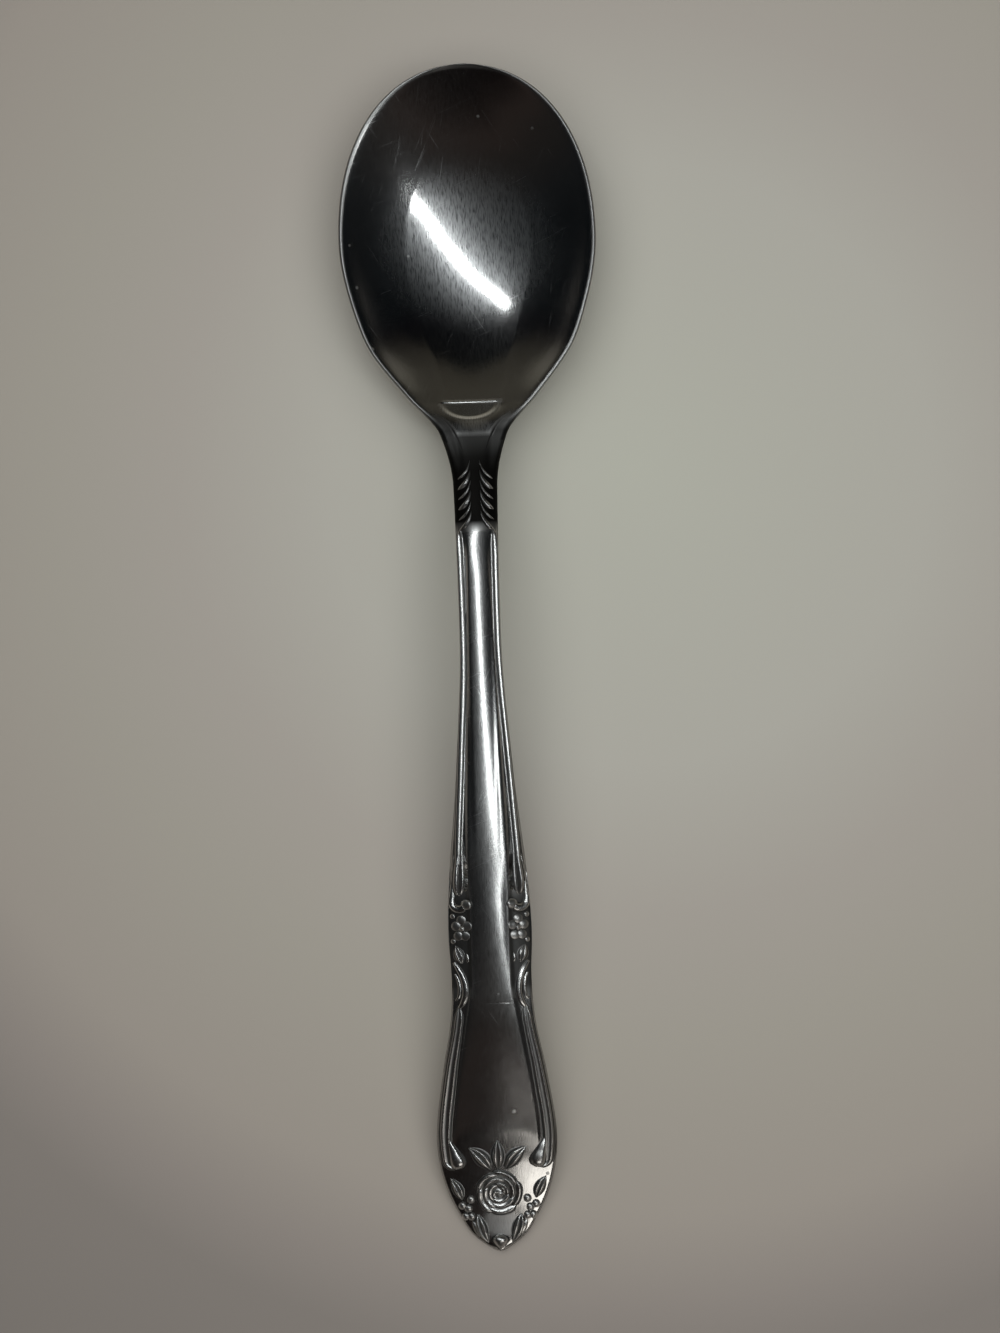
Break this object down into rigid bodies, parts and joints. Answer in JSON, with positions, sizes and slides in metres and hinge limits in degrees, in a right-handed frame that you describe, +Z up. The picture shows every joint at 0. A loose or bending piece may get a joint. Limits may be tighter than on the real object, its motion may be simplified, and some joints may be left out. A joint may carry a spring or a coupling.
{
  "type": "sugar spoon",
  "caption": "Small steel spoon with a broad oval bowl, a slim arched stem with edge threads, and a spade-shaped handle end with a rose in relief.",
  "frame": {"origin": "on the table under the middle of the spoon's length, in its left to right middle plane", "axes": "+Y along the spoon towards the bowl, +Z up out of the bowl, X across"},
  "size_m": [0.033, 0.1518, 0.0123],
  "materials": {
    "polished_steel": "polished, with fine wear scratches",
    "struck_steel": "struck relief, darker in its recesses"
  },
  "bodies": {
    "root": {"bowl": "polished_steel", "neck": "polished_steel", "stem": "polished_steel", "shoulder": "polished_steel", "handle_end": "polished_steel", "leaf_marks": "struck_steel", "stem_threads": "polished_steel", "stem_scrolls": "struck_steel", "shoulder_flowers": "struck_steel", "shoulder_leaves": "struck_steel", "end_threads": "polished_steel", "rose": "struck_steel", "rose_leaves": "struck_steel", "side_sprays": "struck_steel", "tip_bud": "struck_steel"}
  },
  "joints": []
}
